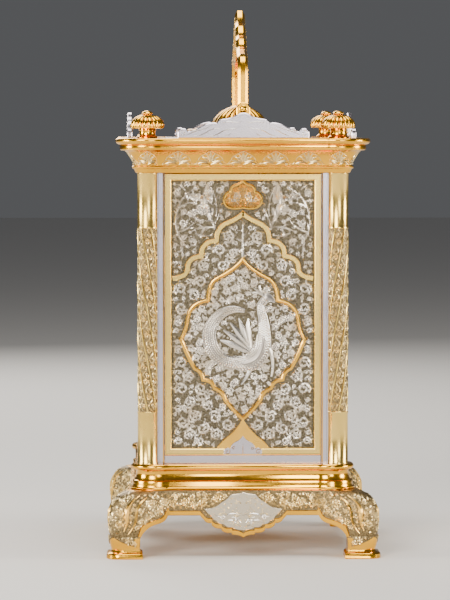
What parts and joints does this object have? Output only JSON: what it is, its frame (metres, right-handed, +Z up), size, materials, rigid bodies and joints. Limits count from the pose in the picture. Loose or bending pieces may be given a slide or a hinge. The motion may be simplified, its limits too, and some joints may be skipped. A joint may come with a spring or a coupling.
{
  "type": "carriage clock",
  "caption": "Gilt and silvered carriage clock with corner columns, chased side panels, a glazed rear door, a roof gallery with finials and a folding top handle.",
  "frame": {"origin": "on the table, under the middle of the case", "axes": "+Z up, dial looks along -Y, +X to the right seen from the dial side"},
  "size_m": [0.109, 0.0986, 0.1975],
  "materials": {
    "gilt": "polished fire gilding",
    "pale_gilt": "pale polished gilding",
    "silvered": "silvered, chased relief",
    "movement_brass": "brushed lacquered",
    "steel": "polished",
    "blued_steel": "heat blued",
    "enamel": "fired white enamel with black numerals",
    "glass": "bevelled clear glass"
  },
  "bodies": {
    "case": {"balance_cock": "movement_brass", "base_moulding": "gilt", "base_plate": "movement_brass", "column_front_left": "pale_gilt", "column_front_right": "pale_gilt", "column_rear_left": "pale_gilt", "column_rear_right": "pale_gilt", "corner_post_front_left": "silvered", "corner_post_front_right": "silvered", "corner_post_rear_left": "silvered", "corner_post_rear_right": "silvered", "cornice": "gilt", "crest_front": "silvered", "crest_left": "silvered", "crest_rear": "silvered", "crest_right": "silvered", "dial": "enamel", "dial_mask": "silvered", "finial_front_left": "gilt", "finial_front_right": "gilt", "finial_rear_left": "gilt", "finial_rear_right": "gilt", "foot_shoe_front_left": "gilt", "foot_shoe_front_right": "gilt", "foot_shoe_rear_left": "gilt", "foot_shoe_rear_right": "gilt", "front_frame": "pale_gilt", "front_glass": "glass", "handle_foot_left": "gilt", "handle_foot_right": "gilt", "handle_pin_left": "gilt", "handle_pin_right": "gilt", "movement_front_plate": "movement_brass", "movement_rear_plate": "movement_brass", "platform": "movement_brass", "roof_dome": "gilt", "roof_plate": "silvered", "side_frame_left": "pale_gilt", "side_frame_right": "pale_gilt", "side_panel_left": "silvered", "side_panel_right": "silvered", "skirt": "gilt"},
    "handle": {"handle": "gilt"},
    "rear_door": {"rear_door_frame": "pale_gilt", "rear_door_glass": "glass", "door_knob": "gilt"},
    "minute_hand": {"minute_hand": "blued_steel", "cannon_pinion": "steel"},
    "hour_hand": {"hour_hand": "blued_steel", "hour_wheel": "movement_brass"},
    "minute_wheel": {"minute_wheel": "movement_brass"},
    "barrel": {"barrel": "movement_brass", "mainspring": "steel"},
    "winding_arbor": {"winding_arbor": "steel"},
    "centre_wheel": {"centre_wheel": "movement_brass"},
    "third_wheel": {"third_wheel": "movement_brass"},
    "contrate_wheel": {"contrate_wheel": "movement_brass"},
    "escape_wheel": {"escape_wheel": "steel"},
    "lever": {"lever": "steel"},
    "balance": {"balance_wheel": "movement_brass"}
  },
  "joints": [
    {"name": "handle_fold", "type": "hinge", "parent": "case", "child": "handle", "pos_m": [0, 0, 0.1609], "axis": [1, 0, 0], "range_deg": [-90, 90]},
    {"name": "rear_door_swing", "type": "hinge", "parent": "case", "child": "rear_door", "pos_m": [-0.0317, 0.0334, 0.086], "axis": [0, 0, 1], "range_deg": [0, 95]},
    {"name": "minute_hand_turn", "type": "hinge", "parent": "case", "child": "minute_hand", "pos_m": [0, -0.025, 0.09], "axis": [0, 1, 0], "continuous": true},
    {"name": "hour_hand_turn", "type": "hinge", "parent": "case", "child": "hour_hand", "pos_m": [0, -0.024, 0.09], "axis": [0, 1, 0], "continuous": true},
    {"name": "minute_wheel_turn", "type": "hinge", "parent": "case", "child": "minute_wheel", "pos_m": [0.00802, -0.018, 0.08403], "axis": [0, 1, 0], "continuous": true},
    {"name": "contrate_wheel_turn", "type": "hinge", "parent": "case", "child": "contrate_wheel", "pos_m": [-0.00303, 0, 0.10699], "axis": [0, 1, 0], "continuous": true},
    {"name": "third_wheel_turn", "type": "hinge", "parent": "case", "child": "third_wheel", "pos_m": [-0.00661, 0, 0.09854], "axis": [0, 1, 0], "continuous": true},
    {"name": "centre_wheel_turn", "type": "hinge", "parent": "case", "child": "centre_wheel", "pos_m": [0, 0, 0.09], "axis": [0, 1, 0], "continuous": true},
    {"name": "barrel_turn", "type": "hinge", "parent": "case", "child": "barrel", "pos_m": [0, -0.0025, 0.0702], "axis": [0, 1, 0], "continuous": true},
    {"name": "escape_wheel_turn", "type": "hinge", "parent": "case", "child": "escape_wheel", "pos_m": [-0.00303, 0.00364, 0.1195], "axis": [0, 0, 1], "continuous": true},
    {"name": "winding", "type": "hinge", "parent": "case", "child": "winding_arbor", "pos_m": [0, 0.018, 0.0702], "axis": [0, 1, 0], "continuous": true},
    {"name": "lever_rock", "type": "hinge", "parent": "case", "child": "lever", "pos_m": [0.00237, 0.00364, 0.1195], "axis": [0, 0, 1], "range_deg": [-5, 5]},
    {"name": "balance_swing", "type": "hinge", "parent": "case", "child": "balance", "pos_m": [0.00877, 0.00364, 0.1225], "axis": [0, 0, 1], "range_deg": [-135, 135], "stiffness_Nm_per_rad": 0.000002}
  ],
  "couplings": [
    {"joint": "hour_hand_turn", "follows": "minute_hand_turn", "ratio": 0.083333},
    {"joint": "minute_wheel_turn", "follows": "minute_hand_turn", "ratio": -0.33333},
    {"joint": "third_wheel_turn", "follows": "contrate_wheel_turn", "ratio": -0.13333},
    {"joint": "centre_wheel_turn", "follows": "contrate_wheel_turn", "ratio": 0.016667},
    {"joint": "barrel_turn", "follows": "contrate_wheel_turn", "ratio": -0.0033333},
    {"joint": "escape_wheel_turn", "follows": "contrate_wheel_turn", "ratio": 8}
  ]
}
